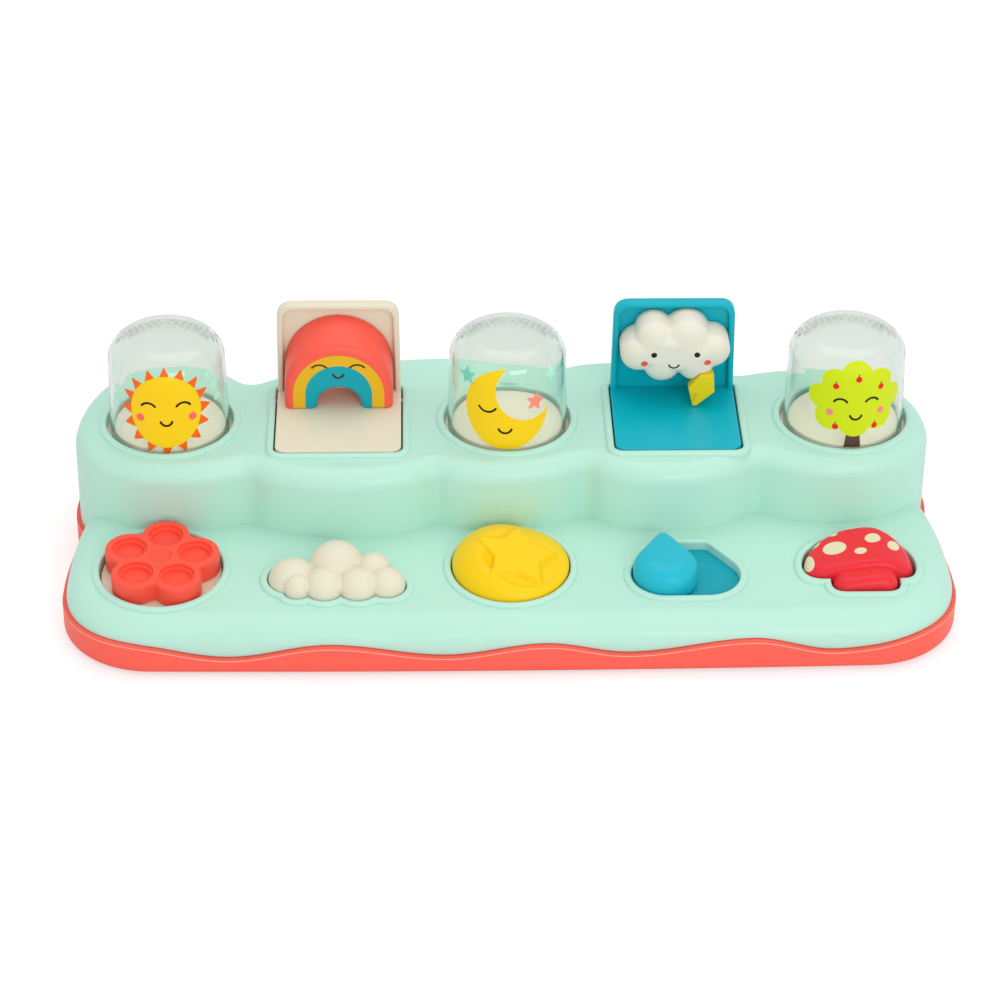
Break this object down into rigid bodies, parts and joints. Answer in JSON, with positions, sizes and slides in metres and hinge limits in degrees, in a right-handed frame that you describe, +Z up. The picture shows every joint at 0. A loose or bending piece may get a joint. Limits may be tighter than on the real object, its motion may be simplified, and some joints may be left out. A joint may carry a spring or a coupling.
{
  "type": "pop-up activity toy",
  "caption": "Pop-up activity toy: clear domes and flip lids spring up from a low lobed housing when dials, a button, a slider and a rocker along the front are worked.",
  "frame": {"origin": "centre of the footprint, on the surface that the rubber feet stand on", "axes": "+X along the row of pop-ups, to the right as the child sits; +Z up; -Y towards the child"},
  "size_m": [0.3702, 0.163, 0.1006],
  "materials": {
    "mint_shell": "semi-gloss moulded plastic, pale mint",
    "coral_pan": "semi-gloss moulded plastic, coral",
    "rubber_feet": "matt rubber, pale grey",
    "steel": "plain steel wire and screws",
    "clear_dome": "clear moulded plastic with a faceted shoulder",
    "cream_platform": "semi-gloss moulded plastic, cream",
    "cream_lid": "semi-gloss moulded plastic, cream",
    "storm_lid_teal": "semi-gloss moulded plastic, teal",
    "rainbow_bands": "semi-gloss moulded plastic, coral, ochre and teal bands",
    "white_cloud": "semi-gloss moulded plastic, off-white with a printed face",
    "yellow_bolt": "semi-gloss moulded plastic, yellow",
    "cream_dial": "semi-gloss moulded plastic, cream",
    "coral_flower": "semi-gloss moulded plastic, coral red",
    "cream_button": "semi-gloss moulded plastic, cream",
    "yellow_knob": "semi-gloss moulded plastic, yellow",
    "teal_plate": "semi-gloss moulded plastic, deep teal",
    "teal_drop": "semi-gloss moulded plastic, teal",
    "red_mushroom": "semi-gloss moulded plastic, red with cream spots",
    "inner_plastic": "plain inner moulding"
  },
  "bodies": {
    "housing": {"top_shell": "mint_shell", "base_pan": "coral_pan", "foot_1": "rubber_feet", "foot_2": "rubber_feet", "foot_3": "rubber_feet", "foot_4": "rubber_feet", "screw_1": "steel", "screw_2": "steel", "screw_3": "steel", "screw_4": "steel", "screw_5": "steel", "screw_6": "steel", "rainbow_hinge_pin": "steel", "storm_hinge_pin": "steel", "rocker_pin": "steel", "sun_spring": "steel", "moon_spring": "steel", "tree_spring": "steel", "button_spring": "steel", "sun_latch_spring": "steel", "rainbow_latch_spring": "steel", "moon_latch_spring": "steel", "storm_latch_spring": "steel", "tree_latch_spring": "steel"},
    "sun_popup": {"sun_dome": "clear_dome", "sun_platform": "cream_platform"},
    "moon_popup": {"moon_dome": "clear_dome", "moon_platform": "cream_platform"},
    "tree_popup": {"tree_dome": "clear_dome", "tree_platform": "cream_platform"},
    "rainbow_flap": {"rainbow_lid": "cream_lid", "rainbow_figure": "rainbow_bands", "rainbow_torsion_spring": "steel"},
    "storm_flap": {"storm_lid": "storm_lid_teal", "cloud_figure": "white_cloud", "lightning_bolt": "yellow_bolt", "storm_torsion_spring": "steel"},
    "flower_dial": {"dial_disc": "cream_dial", "flower_knob": "coral_flower"},
    "cloud_key": {"cloud_button": "cream_button"},
    "star_dial": {"moon_star_knob": "yellow_knob"},
    "drop_slider": {"slider_plate": "teal_plate", "raindrop_knob": "teal_drop"},
    "mushroom_switch": {"mushroom_rocker": "red_mushroom"},
    "sun_bar": {"sun_latch_bar": "inner_plastic"},
    "rainbow_bar": {"rainbow_latch_bar": "inner_plastic"},
    "moon_bar": {"moon_latch_bar": "inner_plastic"},
    "storm_bar": {"storm_latch_bar": "inner_plastic"},
    "tree_bar": {"tree_latch_bar": "inner_plastic"}
  },
  "joints": [
    {"name": "sun_pop", "type": "slide", "parent": "housing", "child": "sun_popup", "axis": [0, 0, -1], "range_m": [0, 0.036], "stiffness_N_per_m": 30, "springref_m": -0.02, "deforming": ["sun_spring"]},
    {"name": "moon_pop", "type": "slide", "parent": "housing", "child": "moon_popup", "axis": [0, 0, -1], "range_m": [0, 0.036], "stiffness_N_per_m": 30, "springref_m": -0.02, "deforming": ["moon_spring"]},
    {"name": "tree_pop", "type": "slide", "parent": "housing", "child": "tree_popup", "axis": [0, 0, -1], "range_m": [0, 0.036], "stiffness_N_per_m": 30, "springref_m": -0.02, "deforming": ["tree_spring"]},
    {"name": "rainbow_flip", "type": "hinge", "parent": "housing", "child": "rainbow_flap", "pos_m": [-0.0713, 0.04528, 0.0527], "axis": [1, 0, 0], "range_deg": [0, 90], "stiffness_Nm_per_rad": 0.02, "springref_deg": -28.65},
    {"name": "storm_flip", "type": "hinge", "parent": "housing", "child": "storm_flap", "pos_m": [0.0713, 0.04528, 0.0527], "axis": [1, 0, 0], "range_deg": [0, 90], "stiffness_Nm_per_rad": 0.02, "springref_deg": -28.65},
    {"name": "flower_turn", "type": "hinge", "parent": "housing", "child": "flower_dial", "pos_m": [-0.144, -0.04022, 0.0252], "axis": [0, 0.0593, -0.9982], "range_deg": [0, 45], "stiffness_Nm_per_rad": 0.01, "springref_deg": -17.19},
    {"name": "cloud_press", "type": "slide", "parent": "housing", "child": "cloud_key", "axis": [0, 0.0593, -0.9982], "range_m": [0, 0.005], "stiffness_N_per_m": 150, "springref_m": -0.004, "deforming": ["button_spring"]},
    {"name": "star_turn", "type": "hinge", "parent": "housing", "child": "star_dial", "pos_m": [0, -0.04022, 0.0252], "axis": [0, 0.0593, -0.9982], "range_deg": [0, 45], "stiffness_Nm_per_rad": 0.01, "springref_deg": -17.19},
    {"name": "drop_slide", "type": "slide", "parent": "housing", "child": "drop_slider", "axis": [1, 0, 0], "range_m": [0, 0.017], "stiffness_N_per_m": 40, "springref_m": -0.01},
    {"name": "mushroom_tilt", "type": "hinge", "parent": "housing", "child": "mushroom_switch", "pos_m": [0.144, -0.03996, 0.02081], "axis": [0, 0.9982, 0.0593], "range_deg": [0, 8], "stiffness_Nm_per_rad": 0.03, "springref_deg": -11.46},
    {"name": "sun_latch", "type": "slide", "parent": "housing", "child": "sun_bar", "axis": [0, -1, 0], "range_m": [0, 0.0032], "deforming": ["sun_latch_spring"]},
    {"name": "rainbow_latch", "type": "slide", "parent": "housing", "child": "rainbow_bar", "axis": [0, -1, 0], "range_m": [0, 0.0032], "deforming": ["rainbow_latch_spring"]},
    {"name": "moon_latch", "type": "slide", "parent": "housing", "child": "moon_bar", "axis": [0, -1, 0], "range_m": [0, 0.0032], "deforming": ["moon_latch_spring"]},
    {"name": "storm_latch", "type": "slide", "parent": "housing", "child": "storm_bar", "axis": [0, -1, 0], "range_m": [0, 0.0032], "deforming": ["storm_latch_spring"]},
    {"name": "tree_latch", "type": "slide", "parent": "housing", "child": "tree_bar", "axis": [0, -1, 0], "range_m": [0, 0.0032], "deforming": ["tree_latch_spring"]}
  ],
  "couplings": [
    {"joint": "sun_latch", "follows": "flower_turn", "m_per_rad": 0.004074},
    {"joint": "rainbow_latch", "follows": "cloud_press", "ratio": 0.64},
    {"joint": "moon_latch", "follows": "star_turn", "m_per_rad": 0.004074},
    {"joint": "storm_latch", "follows": "drop_slide", "ratio": 0.18823},
    {"joint": "tree_latch", "follows": "mushroom_tilt", "m_per_rad": 0.022917}
  ]
}
